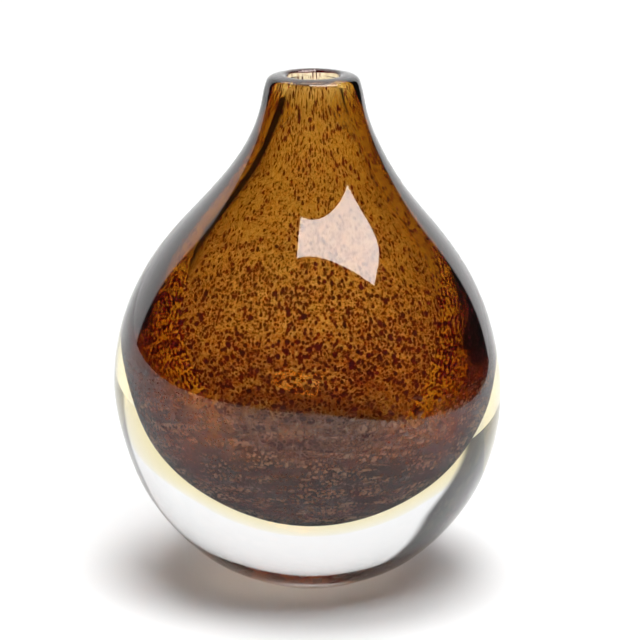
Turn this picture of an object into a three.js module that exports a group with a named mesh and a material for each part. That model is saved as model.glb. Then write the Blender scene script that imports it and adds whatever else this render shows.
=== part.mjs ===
// Cased-glass bottle vase: a flecked amber bubble blown inside a thick clear casing, with a heavy solid bottom.
// Units are millimetres, +Z is up. The origin is the centre of the flat foot, on the surface it stands on.
import * as THREE from 'three';

// ---- driving dimensions -------------------------------------------------------------------
const HEIGHT = 197.5;            // foot to the top of the lip
const FOOT_RADIUS = 18.84;       // ground flat under the base
const MOUTH_RADIUS = 9.65;       // clear opening at the lip
const COLOUR_TOP = 196.3;        // where the coloured layers stop inside the fire-polished lip
const SEGMENTS = 44;             // facets round the axis
const GAP = 0.1;                 // parting line kept between the fused layers
const FLECK_THICKNESS = 0.3;     // crushed-glass fleck coat
const AMBER_BOTTOM = 2.4;        // amber overlay under the bubble
const AMBER_SIDE = 5.4;          // the same overlay round the lower sides of the bubble
const AMBER_WALL = 0.6;          // in the wall of the belly
const AMBER_NECK = 0.3;          // and up the neck
const GATHER_BOTTOM = 2.2;       // clear inner gather under the air space
const GATHER_WALL = 1.0;         // the same gather round the belly
const GATHER_NECK = 0.5;         // and at the root of the neck
const GATHER_LIP = 2.5;          // where it closes in to the opening

// Outer surface of the clear casing, [radius, height], from the foot to below the lip.
const OUTER = [
  [FOOT_RADIUS, 0], [22.86, 1.2], [29.63, 4], [39.09, 9], [47.91, 16], [57.14, 26], [65.13, 38], [70.73, 52],
  [73.88, 66], [74.6, 80], [72.71, 94], [68.63, 108], [61.86, 122], [52.02, 136], [41.58, 148], [33.5, 158],
  [26.95, 168], [22.16, 178], [19.55, 187], [18.3, 193],
];

// Fire-polished lip, from the outside over the top to the opening.
const LIP = [
  [17.85, 194.5], [17.35, 195.65], [16.55, 196.5], [15.2, 197], [13.7, 197.3], [12.3, HEIGHT], [11.1, 197.4], [10.3, 196.9], [9.8, 196.1],
  [MOUTH_RADIUS, 195],
];

// Outer surface of the fleck coat, [radius, height], from the bottom of the bubble up the neck.
const BUBBLE = [
  [0, 37.58], [7.49, 38.14], [14.78, 39.8], [21.72, 42.52], [28.15, 46.25], [33.94, 50.91], [39, 56.38], [43.28, 62.54],
  [46.76, 69.23], [49.48, 76.3], [51.45, 83.63], [52.67, 91.06], [53.03, 98.5], [52.45, 105.85], [50.88, 113.03], [48.4, 119.99],
  [45.12, 126.71], [41.27, 133.21], [37.06, 139.52], [32.73, 145.71], [28.5, 151.89], [24.55, 158.19], [21.04, 164.72], [18.07, 171.57],
  [15.69, 178.73], [13.91, 186.09], [13.3, 189.2], [12.82, 192.3], [12.45, COLOUR_TOP],
];

// Sideways wander of a hand-blown form: [height, offset along X] of the outer form's centre.
const WANDER = [[0, 0], [22, 0], [38, -0.15], [57, -0.4], [66, -0.78], [73, -1.26], [81, -1.42], [92, -1.9], [134, -1.9], [148, -1.35], [158, -0.4], [170, 0.8], [200, 0.8]];
// The bubble sits a little to the right of the outer form, so the wall is thinner on that side.
const DRIFT = [[0, 0.3], [36, 0.3], [68, 1.5], [84, 1.3], [150, 1.2], [168, 0.8], [184, 0.3], [192, 0]];

// ---- helpers ------------------------------------------------------------------------------
function along(table, z) {
  if (z <= table[0][0]) return table[0][1];
  for (let i = 1; i < table.length; i++) {
    if (z <= table[i][0]) {
      const [z0, v0] = table[i - 1], [z1, v1] = table[i];
      const t = (z - z0) / (z1 - z0), s = t * t * (3 - 2 * t);
      return v0 + (v1 - v0) * s;
    }
  }
  return table[table.length - 1][1];
}
const outerAxis = (z) => along(WANDER, z);
const bubbleAxis = (z) => along(WANDER, z) + along(DRIFT, z);

// Moves each point of the bubble profile along its own normal: positive goes out, negative goes in.
function offset(profile, distance) {
  return profile.map(([r, z], i) => {
    const [r0, z0] = i ? profile[i - 1] : [-profile[1][0], profile[1][1]];
    const [r1, z1] = i < profile.length - 1 ? profile[i + 1] : [r, z + 1];
    const l = Math.hypot(r1 - r0, z1 - z0), nr = (z1 - z0) / l, nz = -(r1 - r0) / l;
    const d = distance(z);
    if (i === 0) return [0, z - d];
    if (i === profile.length - 1) return [r + d, z];
    return [r + nr * d, z + nz * d];
  });
}

const amberThickness = (z) => along([[36, AMBER_BOTTOM], [44, 3.2], [58, AMBER_SIDE], [74, 5], [98, AMBER_WALL], [140, AMBER_WALL], [180, AMBER_NECK]], z);
const gatherThickness = (z) => along([[38, GATHER_BOTTOM], [62, GATHER_WALL], [140, GATHER_WALL], [172, GATHER_NECK], [193, GATHER_LIP]], z);

const fleckOut = BUBBLE;
const fleckIn = offset(BUBBLE, () => -FLECK_THICKNESS);
const amberIn = offset(BUBBLE, () => GAP);
const amberOut = offset(BUBBLE, (z) => GAP + amberThickness(z));
const casingIn = offset(BUBBLE, (z) => 2 * GAP + amberThickness(z));
const gatherOut = offset(BUBBLE, () => -FLECK_THICKNESS - GAP);
const gatherIn = offset(BUBBLE, (z) => -FLECK_THICKNESS - GAP - gatherThickness(z));

// A closed body of revolution. rows holds [radius, height, centre line], from the axis out, up and back in to the axis.
function turned(name, rows, material) {
  const points = rows.map(([r, z]) => new THREE.Vector2(r, z));
  const geometry = new THREE.LatheGeometry(points, SEGMENTS);
  geometry.rotateX(Math.PI / 2);
  const position = geometry.attributes.position;
  for (let i = 0; i < position.count; i++) {
    const [, z, centre] = rows[i % rows.length];
    position.setX(i, position.getX(i) + centre(z));
  }
  geometry.deleteAttribute('normal');
  geometry.deleteAttribute('uv');
  geometry.computeVertexNormals();
  const mesh = new THREE.Mesh(geometry, material);
  mesh.name = name;
  return mesh;
}
const rows = (profile, centre) => profile.map(([r, z]) => [Math.max(r, 0), z, centre]);
const cup = (outside, inside, centre) => [...rows(outside, centre), ...rows(inside, centre).reverse()];

// ---- materials ----------------------------------------------------------------------------
const clearGlass = new THREE.MeshStandardMaterial({ name: 'clear_glass', color: 0xeef3f2, roughness: 0.02, metalness: 0, transparent: true, opacity: 0.35 });
const amberGlass = new THREE.MeshStandardMaterial({ name: 'amber_glass', color: 0xc88a1e, roughness: 0.04, metalness: 0, transparent: true, opacity: 0.55 });
const aubergineFrit = new THREE.MeshStandardMaterial({ name: 'aubergine_frit', color: 0x4a1014, roughness: 0.3, metalness: 0 });
const innerGlass = new THREE.MeshStandardMaterial({ name: 'inner_glass', color: 0xf2ecdc, roughness: 0.03, metalness: 0, transparent: true, opacity: 0.35 });

// ---- assembly -----------------------------------------------------------------------------
const vase = new THREE.Group();
vase.name = 'cased_glass_vase';

// Clear casing: solid bottom and thick wall, rolled over at the mouth into the lip, hollow for the coloured bubble.
vase.add(turned('clear_casing', [
  [0, 0, outerAxis],
  ...rows(OUTER, outerAxis),
  ...rows(LIP, outerAxis),
  [12, COLOUR_TOP + 0.3, outerAxis],
  ...rows([...casingIn.slice(0, -1), [casingIn[casingIn.length - 1][0], COLOUR_TOP + 0.3]], bubbleAxis).reverse(),
], clearGlass));

// Amber overlay: thick round the lower half, a thin skin up the wall and neck.
vase.add(turned('amber_overlay', cup(amberOut, amberIn, bubbleAxis), amberGlass));

// Fleck coat: crushed aubergine glass melted on to the blown bubble.
vase.add(turned('aubergine_fleck_coat', cup(fleckOut, fleckIn, bubbleAxis), aubergineFrit));

// Inner gather: the clear wall round the air space, drawn in to the bore under the lip.
vase.add(turned('clear_inner_gather', [
  ...rows(gatherOut, bubbleAxis),
  [MOUTH_RADIUS + 0.1, 194.6, outerAxis],
  ...rows(gatherIn.slice(0, -1), bubbleAxis).reverse(),
], innerGlass));

export default vase;
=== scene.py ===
# Cased glass bottle vase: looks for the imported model. Lengths in the tables are millimetres, the scene is in metres.
import bpy, math
import numpy as np
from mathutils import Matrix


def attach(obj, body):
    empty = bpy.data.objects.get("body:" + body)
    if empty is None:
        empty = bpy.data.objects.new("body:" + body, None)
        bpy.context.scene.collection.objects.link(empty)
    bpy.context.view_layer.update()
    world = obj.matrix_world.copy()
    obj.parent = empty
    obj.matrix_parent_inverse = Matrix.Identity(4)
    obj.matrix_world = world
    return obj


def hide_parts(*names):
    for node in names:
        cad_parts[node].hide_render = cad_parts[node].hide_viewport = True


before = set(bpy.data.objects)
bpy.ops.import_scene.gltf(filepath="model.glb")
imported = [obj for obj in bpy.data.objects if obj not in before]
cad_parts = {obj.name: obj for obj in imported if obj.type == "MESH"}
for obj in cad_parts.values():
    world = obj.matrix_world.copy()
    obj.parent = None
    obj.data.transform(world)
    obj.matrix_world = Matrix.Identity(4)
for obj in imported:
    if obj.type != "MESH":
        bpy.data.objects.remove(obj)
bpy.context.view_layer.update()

# ---- the form, as in the CAD source --------------------------------------------------------
OUTER = [(18.84, 0), (22.86, 1.2), (29.63, 4), (39.09, 9), (47.91, 16), (57.14, 26), (65.13, 38), (70.73, 52),
         (73.88, 66), (74.6, 80), (72.71, 94), (68.63, 108), (61.86, 122), (52.02, 136), (41.58, 148), (33.5, 158),
         (26.95, 168), (22.16, 178), (19.55, 187), (18.3, 193)]
LIP = [(17.85, 194.5), (17.35, 195.65), (16.55, 196.5), (15.2, 197.0), (13.7, 197.3), (12.3, 197.47), (11.1, 197.4), (10.3, 196.9), (9.8, 196.1), (9.65, 195.0)]
BUBBLE = [(0, 37.58), (7.49, 38.14), (14.78, 39.8), (21.72, 42.52), (28.15, 46.25), (33.94, 50.91), (39.0, 56.38), (43.28, 62.54),
          (46.76, 69.23), (49.48, 76.3), (51.45, 83.63), (52.67, 91.06), (53.03, 98.5), (52.45, 105.85), (50.88, 113.03), (48.4, 119.99),
          (45.12, 126.71), (41.27, 133.21), (37.06, 139.52), (32.73, 145.71), (28.5, 151.89), (24.55, 158.19), (21.04, 164.72), (18.07, 171.57),
          (15.69, 178.73), (13.91, 186.09), (13.3, 189.2), (12.82, 192.3), (12.45, 196.3)]
RIM = 196.3                      # height at which the coloured layers end inside the lip
WANDER = [(0, 0), (22, 0), (38, -0.15), (57, -0.40), (66, -0.78), (73, -1.32), (81, -1.44), (92, -1.9), (134, -1.9), (148, -1.35), (158, -0.4), (170, 0.8), (200, 0.8)]
DRIFT = [(0, 0.3), (36, 0.3), (68, 1.5), (84, 1.3), (150, 1.2), (168, 0.8), (184, 0.3), (192, 0.0)]
AMBER = [(36, 2.4), (44, 3.2), (58, 5.4), (74, 5.0), (98, 0.6), (140, 0.6), (180, 0.3)]
FLECK = [(186, 0.3), (196.3, 0.08)]
GATHER = [(38, 2.2), (62, 1.0), (140, 1.0), (172, 0.5), (193, 2.5)]
SEG = 192


def along(table, z):
    z0, v0 = table[0]
    if z <= z0:
        return v0
    for z1, v1 in table[1:]:
        if z <= z1:
            t = (z - z0) / (z1 - z0)
            return v0 + (v1 - v0) * t * t * (3 - 2 * t)
        z0, v0 = z1, v1
    return v0


def eased(table):
    """The table as one smooth curve, without a kink or a flat step at its points."""
    zs = np.arange(-30, 231, 0.5)
    v = np.interp(zs, *np.array(table, float).T)
    k = np.exp(-0.5 * (np.arange(-48, 49) * 0.5 / 7.0)**2)
    return zs[48:-48], np.convolve(v, k / k.sum(), "valid")


LEAN, SHIFT = eased(WANDER), eased(DRIFT)


def outer_axis(z):
    return float(np.interp(z, *LEAN))


def bubble_axis(z):
    return float(np.interp(z, *LEAN) + np.interp(z, *SHIFT))


def curve(points, step, mirror=False):
    """Points every `step` mm on a natural cubic spline through (r, z) points; mirror keeps it flat where it meets the axis."""
    p = np.array(points, float)
    first = 0
    if mirror:
        first = len(p) - 1
        p = np.vstack([p[:0:-1] * (-1, 1), p])
    s = np.concatenate([[0], np.cumsum(np.hypot(*np.diff(p, axis=0).T))])
    h, n = np.diff(s), len(p)
    a, b = np.eye(n), np.zeros((n, 2))
    for i in range(1, n - 1):
        a[i, i - 1:i + 2] = h[i - 1], 2 * (h[i - 1] + h[i]), h[i]
        b[i] = 6 * ((p[i + 1] - p[i]) / h[i] - (p[i] - p[i - 1]) / h[i - 1])
    m = np.linalg.solve(a, b)
    out = []
    for i in range(first, n - 1):
        k = max(2, int(math.ceil(h[i] / step)))
        for j in range(k):
            u, v = h[i] * (k - j) / k, h[i] * j / k
            out.append((m[i] * u**3 + m[i + 1] * v**3) / (6 * h[i]) + (p[i] / h[i] - m[i] * h[i] / 6) * u + (p[i + 1] / h[i] - m[i + 1] * h[i] / 6) * v)
    out.append(p[-1])
    out = np.array(out)
    if mirror:
        out[0, 0] = 0.0
    return out


def offset(profile, distance):
    """The profile moved along its normals by distance(z) mm, positive outwards; both ends stay on the axis and on the rim."""
    d0 = np.gradient(profile, axis=0)
    n = np.stack([d0[:, 1], -d0[:, 0]], 1)
    n /= np.linalg.norm(n, axis=1)[:, None]
    n[0] = (0, -1)
    n[-1] = (1, 0)
    dist = np.array([distance(z) for z in profile[:, 1]])[:, None]
    out = profile + n * dist
    out[0, 0] = 0.0
    return out


body_c = curve(OUTER + LIP, 1.2)
body_c[:, 0] *= 74.44 / body_c[:, 0].max()
body_c[:, 1] = np.clip(body_c[:, 1], 0, 197.49)
bubble_c = curve(BUBBLE, 1.4, mirror=True)
amber_c = offset(bubble_c, lambda z: along(AMBER, z))
fleck_in_c = offset(bubble_c, lambda z: -along(FLECK, z))
cavity_c = offset(bubble_c, lambda z: -along(FLECK, z) - along(GATHER, z))
# the fused layers keep a hair's breadth apart, so that no two faces lie in one place
HAIR = 0.03
casing_in_c = offset(bubble_c, lambda z: along(AMBER, z) + HAIR)
amber_in_c = offset(bubble_c, lambda z: HAIR)
gather_out_c = offset(bubble_c, lambda z: -along(FLECK, z) - HAIR)
cavity_c = np.vstack([cavity_c[cavity_c[:, 1] < 192.6], (9.66, 194.97)])
casing_in_c[-1, 1] = RIM + HAIR
for c in (bubble_c, amber_c, amber_in_c, fleck_in_c, gather_out_c):
    c[-1, 1] = RIM


# ---- mesh code -----------------------------------------------------------------------------
def turned(name, parts, seg=SEG):
    """A closed body of revolution. parts is a list of (profile, centre line, material index), joined end to end."""
    verts, faces, mats, rows = [], [], [], []
    for profile, centre, mi in parts:
        for k, (r, z) in enumerate(profile):
            x0 = centre(z)
            if r < 1e-5:
                row = [len(verts)]
                verts.append((x0 / 1000, 0, z / 1000))
            else:
                a = 2 * math.pi * np.arange(seg) / seg
                row = list(range(len(verts), len(verts) + seg))
                verts += list(zip((x0 + r * np.cos(a)) / 1000, r * np.sin(a) / 1000, [z / 1000] * seg))
            rows.append((row, mi))
    for (a, ma), (b, mb) in zip(rows[:-1], rows[1:]):
        new = []
        if len(a) == 1 and len(b) == 1:
            continue
        if len(a) == 1:
            new = [(a[0], b[(k + 1) % seg], b[k]) for k in range(seg)]
        elif len(b) == 1:
            new = [(a[k], a[(k + 1) % seg], b[0]) for k in range(seg)]
        else:
            new = [(a[k], a[(k + 1) % seg], b[(k + 1) % seg], b[k]) for k in range(seg)]
        faces += new
        mats += [mb] * len(new)
    me = bpy.data.meshes.new(name)
    me.from_pydata(verts, [], faces)
    me.update()
    me.polygons.foreach_set("use_smooth", [True] * len(faces))
    me.polygons.foreach_set("material_index", mats)
    ob = bpy.data.objects.new(name, me)
    bpy.context.collection.objects.link(ob)
    return ob


def flow_attribute(ob):
    """Stores where each point of the bubble was before blowing, so that the flecks narrow and lengthen up the neck."""
    zs = np.linspace(30, 205, 351)
    squeeze = np.interp(zs, [90, 150, 175], [1.0, 0.72, 0.6])
    rate = np.interp(zs, [85, 125, 160, 180], [1.0, 0.85, 0.5, 0.36])
    w = np.concatenate([[0], np.cumsum((rate[1:] + rate[:-1]) / 2 * np.diff(zs))])
    me = ob.data
    co = np.empty(len(me.vertices) * 3)
    me.vertices.foreach_get("co", co)
    co = co.reshape(-1, 3) * 1000
    c = np.interp(co[:, 2], zs, squeeze)
    out = np.stack([co[:, 0] / c, co[:, 1] / c, np.interp(co[:, 2], zs, w)], 1)
    at = me.attributes.new("flow", "FLOAT_VECTOR", "POINT")
    at.data.foreach_set("vector", out.ravel())


# ---- node code -----------------------------------------------------------------------------
class Tree:
    def __init__(self, owner):
        owner.use_nodes = True
        self.t = owner.node_tree
        self.t.nodes.clear()

    def add(self, kind, inputs=None, **attrs):
        n = self.t.nodes.new(kind)
        for k, v in attrs.items():
            setattr(n, k, v)
        for k, v in (inputs or {}).items():
            if isinstance(v, bpy.types.NodeSocket):
                self.t.links.new(v, n.inputs[k])
            else:
                n.inputs[k].default_value = v
        return n

    def math(self, op, a, b=None, c=None, clamp=False):
        n = self.add("ShaderNodeMath", {i: v for i, v in enumerate((a, b, c)) if v is not None}, operation=op, use_clamp=clamp)
        return n.outputs[0]

    def ramp(self, value, lo, hi, a=0.0, b=1.0, smooth=True):
        n = self.add("ShaderNodeMapRange", {"Value": value, "From Min": lo, "From Max": hi, "To Min": a, "To Max": b},
                     interpolation_type="SMOOTHSTEP" if smooth else "LINEAR")
        return n.outputs[0]

    def noise(self, vector, scale, detail=2.0, rough=0.5, distortion=0.0, out=0):
        return self.add("ShaderNodeTexNoise", {"Vector": vector, "Scale": scale, "Detail": detail, "Roughness": rough, "Distortion": distortion}).outputs[out]

    def mix(self, fac, a, b, blend="MIX"):
        n = self.add("ShaderNodeMix", data_type="RGBA", blend_type=blend)
        for i, v in ((0, fac), (6, a), (7, b)):
            if isinstance(v, bpy.types.NodeSocket):
                self.t.links.new(v, n.inputs[i])
            else:
                n.inputs[i].default_value = v
        return n.outputs[2]


def material(name):
    m = bpy.data.materials.new(name)
    t = Tree(m)
    return m, t, t.add("ShaderNodeOutputMaterial")


def rgb(r, g, b):
    return (r, g, b, 1.0)


# Outer face of the casing and the wall of the air space: polished glass, with faint ripples from the hot work.
def polished(name, wear, haze=0.0):
    m, t, out = material(name)
    tc = t.add("ShaderNodeTexCoord").outputs["Object"]
    ripple = t.noise(tc, 26.0, 1.0, 0.4)
    fine = t.noise(tc, 300.0, 2.0, 0.5)
    h = t.math("ADD", t.math("MULTIPLY", ripple, 1.0), t.math("MULTIPLY", fine, 0.008))
    bump = t.add("ShaderNodeBump", {"Height": h, "Strength": 0.03, "Distance": 0.002})
    b = t.add("ShaderNodeBsdfPrincipled", {"Base Color": rgb(1, 1, 1), "Roughness": haze, "IOR": 1.47, "Transmission Weight": 1.0, "Normal": bump.outputs[0]})
    if wear:
        at = t.add("ShaderNodeSeparateXYZ", {0: tc}).outputs
        low = t.ramp(at[2], 0.003, 0.0005)
        flat = t.add("ShaderNodeVectorMath", {0: t.add("ShaderNodeCombineXYZ", {0: at[0], 1: at[1]}).outputs[0]}, operation="LENGTH").outputs["Value"]
        low = t.math("MULTIPLY", low, t.ramp(flat, 0.0150, 0.0180))
        scratch = t.ramp(t.noise(tc, 900.0, 3.0, 0.6, 0.4), 0.55, 0.7)
        t.t.links.new(t.math("MULTIPLY", t.math("MULTIPLY", low, scratch), 0.25), b.inputs["Roughness"])
    t.t.links.new(b.outputs[0], out.inputs[0])
    return m


# A face where glass meets glass: light goes straight through.
def joined(name, tint=(1, 1, 1)):
    m, t, out = material(name)
    tr = t.add("ShaderNodeBsdfTransparent", {"Color": rgb(*tint)})
    t.t.links.new(tr.outputs[0], out.inputs[0])
    return m


def stained(name, colour, density):
    m, t, out = material(name)
    tr = t.add("ShaderNodeBsdfTransparent", {"Color": rgb(1, 1, 1)})
    vol = t.add("ShaderNodeVolumeAbsorption", {"Color": rgb(*colour), "Density": density})
    t.t.links.new(tr.outputs[0], out.inputs[0])
    t.t.links.new(vol.outputs[0], out.inputs[1])
    return m


# the blown skin is deep amber all through, so it gets darker and redder where it is looked along
AMBER_TINT, AMBER_DENSITY = (0.81, 0.63, 0.04), 6600.0


def flecks(name):
    m, t, out = material(name)
    flow = t.add("ShaderNodeAttribute", attribute_name="flow").outputs["Vector"]
    w = t.add("ShaderNodeSeparateXYZ", {0: flow}).outputs[2]

    def scaled(vec, x, y, z):
        return t.add("ShaderNodeVectorMath", {0: vec, 1: (x, y, z)}, operation="MULTIPLY").outputs[0]

    bent = t.add("ShaderNodeVectorMath", {0: flow, 1: scaled(t.noise(flow, 1.6, 2.0, 0.5, out=1), 0.10, 0.10, 0.10)}, operation="ADD").outputs[0]
    # the grains are denser towards the bottom and in clouds, and sparse up the neck
    low = t.ramp(w, 48.0, 20.0)
    high = t.ramp(w, 78.0, 106.0)
    crowd = t.ramp(t.noise(flow, 0.075, 3.0, 0.6), 0.36, 0.64, -0.12, 0.12, smooth=False)
    more = t.math("ADD", crowd, t.math("SUBTRACT", t.math("ADD", t.math("MULTIPLY", low, 0.05), t.ramp(w, 94.0, 68.0, 0.0, 0.18)), t.math("MULTIPLY", high, 0.27)))

    def grains(scale, few, big):
        vo = t.add("ShaderNodeTexVoronoi", {"Vector": bent, "Scale": scale, "Randomness": 1.0})
        pick = t.math("ADD", t.add("ShaderNodeSeparateColor", {0: vo.outputs["Color"]}).outputs[0], more)
        radius = t.ramp(pick, few, few + 0.25, 0.12, big, smooth=False)
        return t.ramp(t.math("SUBTRACT", vo.outputs["Distance"], radius), 0.02, -0.04)

    z = t.add("ShaderNodeSeparateXYZ", {0: t.add("ShaderNodeTexCoord").outputs["Object"]}).outputs[2]
    bead = t.ramp(z, (RIM - 0.8) / 1000, (RIM - 0.6) / 1000)
    dark = t.math("MAXIMUM", t.math("MAXIMUM", grains(0.52, 0.24, 0.35), grains(0.80, 0.46, 0.38)), t.math("MAXIMUM", grains(0.34, 0.64, 0.36), bead))
    # a thin red-brown stain round the grains, and broad horizontal smears near the bottom
    stain = t.ramp(t.math("ADD", t.noise(bent, 0.42, 4.0, 0.65), t.math("MULTIPLY", more, 0.15)), 0.44, 0.66)
    smear = t.math("MULTIPLY", t.ramp(t.noise(scaled(flow, 0.055, 0.055, 0.30), 1.0, 4.0, 0.62, 0.4), 0.40, 0.60), low)
    line = t.ramp(t.noise(scaled(flow, 0.9, 0.9, 0.07), 1.0, 2.0, 0.5), 0.35, 0.70)
    amber = t.mix(line, rgb(0.99, 0.98, 0.97), rgb(0.93, 0.91, 0.89))
    amber = t.mix(t.math("MULTIPLY", stain, 0.6), amber, rgb(0.905, 0.76, 0.65))
    amber = t.mix(t.math("MULTIPLY", smear, 0.6), amber, rgb(0.63, 0.36, 0.45))
    clear = t.add("ShaderNodeBsdfTransparent", {"Color": amber})
    band = t.math("MULTIPLY", t.ramp(t.noise(scaled(flow, 0.05, 0.05, 0.12), 1.0, 3.0, 0.6), 0.38, 0.60), t.math("MULTIPLY", t.ramp(w, 108.0, 82.0), t.ramp(w, 46.0, 60.0)))
    amber = t.mix(band, amber, rgb(0.87, 0.80, 0.80), "MULTIPLY")
    # the glass is tinted a little darker towards the bottom
    amber = t.mix(t.math("MULTIPLY", low, 0.6), amber, rgb(0.96, 0.92, 0.96), "MULTIPLY")
    cloud = t.math("MULTIPLY", t.ramp(t.noise(scaled(flow, 0.06, 0.06, 0.34), 1.0, 5.0, 0.65, 0.3), 0.40, 0.60), t.ramp(w, 58.0, 40.0))
    body = t.add("ShaderNodeBsdfDiffuse", {"Color": t.mix(cloud, rgb(0.12, 0.014, 0.022), rgb(0.95, 0.55, 0.36))})
    thin = t.add("ShaderNodeBsdfTransparent", {"Color": rgb(0.44, 0.032, 0.085)})
    frit = t.add("ShaderNodeMixShader", {0: 0.35, 1: thin.outputs[0], 2: body.outputs[0]})
    streak = t.math("MULTIPLY", t.ramp(t.noise(scaled(flow, 0.05, 0.05, 0.42), 1.0, 4.0, 0.6, 0.3), 0.50, 0.66), t.ramp(w, 40.0, 24.0))
    dark = t.math("MULTIPLY", dark, t.math("SUBTRACT", 0.96, t.math("MULTIPLY", streak, 0.55)))
    mx = t.add("ShaderNodeMixShader", {0: dark, 1: clear.outputs[0], 2: frit.outputs[0]})
    t.t.links.new(mx.outputs[0], out.inputs[0])
    t.t.links.new(t.add("ShaderNodeVolumeAbsorption", {"Color": rgb(*AMBER_TINT), "Density": AMBER_DENSITY}).outputs[0], out.inputs[1])
    return m


CASING = polished("casing_glass", True)
CAVITY = polished("gather_glass", False, 0.07)
JOIN = joined("glass_joint")
HALO = stained("amber_glass", (0.92, 0.80, 0.26), 22.0)
FRIT = flecks("aubergine_frit")

# ---- pieces --------------------------------------------------------------------------------
up = lambda c: c
down = lambda c: c[::-1]
casing = turned("casing", [([(0, 0)], outer_axis, 0), (body_c, outer_axis, 0),
                            ([(12.0, RIM + HAIR)], bubble_axis, 1), (down(casing_in_c), bubble_axis, 1)])
casing.data.materials.append(CASING)
casing.data.materials.append(JOIN)
amber = turned("amber", [(amber_c, bubble_axis, 0), (down(amber_in_c), bubble_axis, 0)])
amber.data.materials.append(HALO)
fleck = turned("fleck_coat", [(bubble_c, bubble_axis, 0), (down(fleck_in_c), bubble_axis, 0)])
fleck.data.materials.append(FRIT)
flow_attribute(fleck)
gather = turned("inner_gather", [(gather_out_c, bubble_axis, 1), (down(cavity_c)[:1], bubble_axis, 1), (down(cavity_c)[1:], bubble_axis, 0)])
gather.data.materials.append(CAVITY)
gather.data.materials.append(JOIN)
for piece, node, slot in ((casing, "clear_casing", "casing_glass"), (amber, "amber_overlay", "amber_glass"),
                          (fleck, "aubergine_fleck_coat", "aubergine_frit"), (gather, "clear_inner_gather", "gather_glass")):
    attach(piece, "root")
    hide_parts(node)

# ---- floor ---------------------------------------------------------------------------------
me = bpy.data.meshes.new("floor")
me.from_pydata([(-4, -4, -0.0002), (0.5, -4, -0.0002), (0.5, 4, -0.0002), (-4, 4, -0.0002)], [], [(0, 1, 2, 3)])
floor = bpy.data.objects.new("floor", me)
bpy.context.collection.objects.link(floor)
m, t, out = material("pale_floor")
tc = t.add("ShaderNodeTexCoord").outputs["Object"]
shade = t.mix(t.noise(tc, 3.0, 3.0, 0.5), rgb(0.90, 0.90, 0.90), rgb(0.93, 0.93, 0.93))
d = t.add("ShaderNodeBsdfDiffuse", {"Color": shade})
t.t.links.new(d.outputs[0], out.inputs[0])
floor.data.materials.append(m)

# ---- light ---------------------------------------------------------------------------------
world = bpy.data.worlds.new("studio")
bpy.context.scene.world = world
t = Tree(world)
out = t.add("ShaderNodeOutputWorld")
dirn = t.add("ShaderNodeTexCoord").outputs["Generated"]
sep = t.add("ShaderNodeSeparateXYZ", {0: dirn})
az = t.math("DEGREES", t.math("ARCTAN2", sep.outputs[0], sep.outputs[1]))
el = t.math("DEGREES", t.math("ARCSINE", sep.outputs[2]))


def sector(left, right, soft):
    """1 between the two azimuths (0 is behind the vase, + to the right), falling to 0 over `soft` degrees outside them."""
    return t.math("MULTIPLY", t.ramp(t.math("SUBTRACT", az, left), -soft, 0.0), t.ramp(t.math("SUBTRACT", az, right), soft, 0.0))


# a lit white backdrop behind, dark cards to its left and right, and a dim room in front
paper = sector(-52.0, 38.0, 3.0)
mirrored = t.math("ADD", t.math("MULTIPLY", paper, 1.25), 0.025)
left_edge = t.ramp(el, 0.0, 20.0, -41.0, -31.0)
card_left = t.math("MULTIPLY", t.ramp(t.math("SUBTRACT", az, left_edge), 2.0, -3.0), t.ramp(az, -108.0, -96.0))
card_right = t.math("MULTIPLY", t.ramp(az, 59.0, 63.0), t.ramp(az, 108.0, 96.0))
through = t.math("MULTIPLY", t.math("MULTIPLY", t.math("SUBTRACT", 1.06, card_left), t.math("SUBTRACT", 1.06, card_right)), 0.88)
# what falls on the floor comes from above and from behind
room = t.math("MAXIMUM", t.ramp(el, 65.0, 79.0, 0.03, 9.4), t.math("MULTIPLY", sector(-60.0, 60.0, 25.0), t.ramp(el, -2.0, 6.0, 0.0, 0.14)))
lp = t.add("ShaderNodeLightPath")
entered = lp.outputs["Is Transmission Ray"]
scattered = t.math("MINIMUM", lp.outputs["Diffuse Depth"], 1.0)
strength = t.math("ADD", t.math("MULTIPLY", through, entered), t.math("MULTIPLY", mirrored, t.math("SUBTRACT", 1.0, entered)))
strength = t.math("ADD", t.math("MULTIPLY", strength, t.math("SUBTRACT", 1.0, scattered)), t.math("MULTIPLY", scattered, room))
strength = t.math("MAXIMUM", strength, lp.outputs["Is Camera Ray"])
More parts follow.
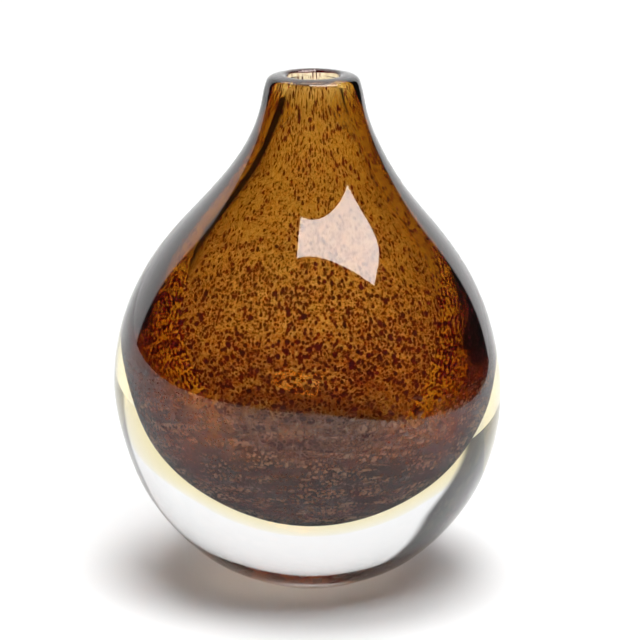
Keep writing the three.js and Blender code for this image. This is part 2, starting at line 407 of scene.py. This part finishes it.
# what reaches the floor through the vase is weak and brown
shaded = t.math("MULTIPLY", scattered, entered)
strength = t.math("MULTIPLY", strength, t.math("SUBTRACT", 1.0, t.math("MULTIPLY", shaded, 0.80)))
bg = t.add("ShaderNodeBackground", {"Color": t.mix(shaded, rgb(1, 1, 1), rgb(1.0, 0.50, 0.20)), "Strength": strength})
t.t.links.new(bg.outputs[0], out.inputs[0])


def softbox(name, size, place, target, radiance):
    """A rectangular area light that shines evenly at `radiance`."""
    l = bpy.data.lights.new(name, "AREA")
    l.shape = "RECTANGLE"
    l.size, l.size_y = size
    l.energy = radiance * math.pi * size[0] * size[1]
    o = bpy.data.objects.new(name, l)
    bpy.context.collection.objects.link(o)
    o.location = place
    o.rotation_euler = (Vector(target) - Vector(place)).to_track_quat("-Z", "Y").to_euler()
    return o


from mathutils import Vector
key = softbox("key_softbox", (1.36, 0.74), (0.53, -0.24, 1.5), (0.53, -0.24, 0.0), 13.0)
key.visible_diffuse = False      # it only shows as the reflection on the shoulder
over = softbox("overhead_softbox", (3.4, 3.0), (0.0, 1.25, 3.0), (0.0, 1.25, 0.0), 1.3)
over.visible_diffuse = False
over.visible_transmission = False
# what falls on the floor comes from a box high up in front, to the right
fill = softbox("front_fill", (1.5, 0.7), (0.50, -0.90, 1.85), (0.0, 0.0, 0.0), 7.0)
fill.visible_glossy = False
fill.visible_transmission = False

# ---- camera --------------------------------------------------------------------------------
e = math.radians(15.14)
cam = bpy.data.cameras.new("camera")
co = bpy.data.objects.new("camera", cam)
bpy.context.collection.objects.link(co)
cam.sensor_width = 36
cam.lens = 3126.73 * 36 / 640
cam.shift_x = 9.0 / 640
cam.shift_y = 17.68 / 640
cam.clip_end = 50
co.location = (0, -1.2 * math.cos(e), 0.095 + 1.2 * math.sin(e))
co.rotation_euler = (math.radians(90) - e, 0, 0)
sc = bpy.context.scene
sc.camera = co

sc.view_settings.view_transform = "Standard"
sc.cycles.max_bounces = 24
sc.cycles.transmission_bounces = 24
sc.cycles.glossy_bounces = 12
sc.cycles.diffuse_bounces = 3
sc.cycles.transparent_max_bounces = 48
sc.cycles.caustics_refractive = True
sc.cycles.caustics_reflective = False
sc.cycles.sample_clamp_indirect = 8.0
sc.cycles.use_denoising = True
